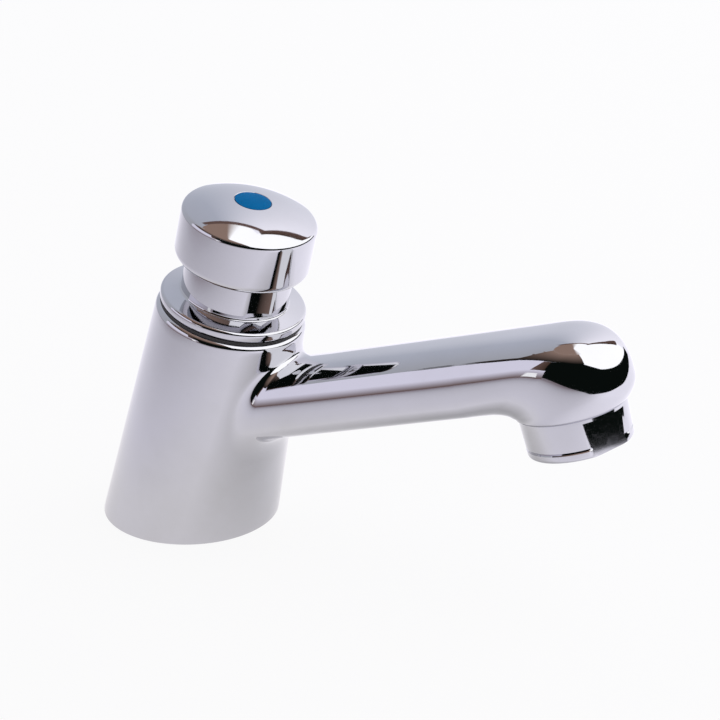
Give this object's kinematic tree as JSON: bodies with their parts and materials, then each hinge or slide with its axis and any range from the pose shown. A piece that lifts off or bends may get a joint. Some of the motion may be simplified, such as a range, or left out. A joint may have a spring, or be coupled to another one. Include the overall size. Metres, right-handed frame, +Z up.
{
  "type": "push timed tap",
  "caption": "Chromed deck-mounted push tap: a leaning body with a rising spout, a push button over a timing cartridge, an aerator, and a threaded tail with its deck fixing.",
  "frame": {"origin": "centre of the base on the deck that the tap is clamped to, on the axis of its threaded tail", "axes": "+X towards the spout, +Z up out of the deck; the tap is symmetric about the XZ plane"},
  "size_m": [0.1464, 0.045, 0.1356],
  "materials": {
    "chrome": "polished chromium plate on brass",
    "brass": "machined",
    "steel": "stainless",
    "rubber": "matt black",
    "acetal": "moulded",
    "index": "gloss blue"
  },
  "bodies": {
    "tap": {"tap_body": "chrome", "collar_gasket": "rubber", "collar_neck": "chrome", "collar_o_ring": "rubber", "guide_bush": "acetal", "stem_seal": "rubber", "seal_retainer": "brass", "retainer_clip": "steel", "timing_sleeve": "brass", "metering_pin": "steel", "seat_ring": "brass", "seat_o_ring": "rubber", "return_spring": "steel", "aerator_housing": "chrome", "aerator_gasket": "rubber", "aerator_strainer": "steel", "aerator_insert": "acetal", "aerator_grid": "acetal", "inlet_tail": "brass", "tail_seal": "rubber", "inlet_strainer": "steel", "base_gasket": "rubber", "deck_gasket": "rubber", "deck_washer": "steel", "lock_nut": "brass"},
    "plunger": {"push_button": "chrome", "index_disc": "index", "button_screw": "steel", "push_stem": "steel", "timing_piston": "acetal", "piston_lip_seal": "rubber", "piston_clip": "steel", "valve_washer": "rubber", "washer_holder": "brass", "washer_nut": "brass"}
  },
  "joints": [
    {"name": "button_press", "type": "slide", "parent": "tap", "child": "plunger", "axis": [-0.247, 0, -0.969], "range_m": [0, 0.007], "stiffness_N_per_m": 900, "springref_m": -0.02, "deforming": ["return_spring"]}
  ]
}
